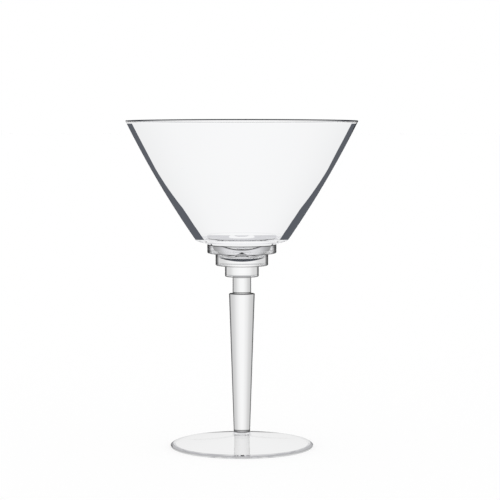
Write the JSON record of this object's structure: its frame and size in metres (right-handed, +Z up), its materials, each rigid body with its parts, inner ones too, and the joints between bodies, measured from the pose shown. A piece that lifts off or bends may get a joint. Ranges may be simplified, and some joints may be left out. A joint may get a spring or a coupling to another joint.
{
  "type": "martini glass",
  "caption": "Clear crystal martini glass: conical bowl with a rounded well in its floor, stepped collar, straight neck, tapered stem and thin round foot.",
  "frame": {"origin": "centre of the circle on which the foot rests, on the resting plane", "axes": "+Z up along the glass's own axis of turning; X and Y lie in the resting plane and are equivalent"},
  "size_m": [0.1166, 0.1166, 0.165],
  "materials": {
    "crystal": "clear colourless crystal, fire polished, with ground and polished step edges"
  },
  "bodies": {
    "root": {"foot": "crystal", "stem": "crystal", "neck": "crystal", "lower_step": "crystal", "middle_step": "crystal", "upper_step": "crystal", "bowl": "crystal"}
  },
  "joints": []
}
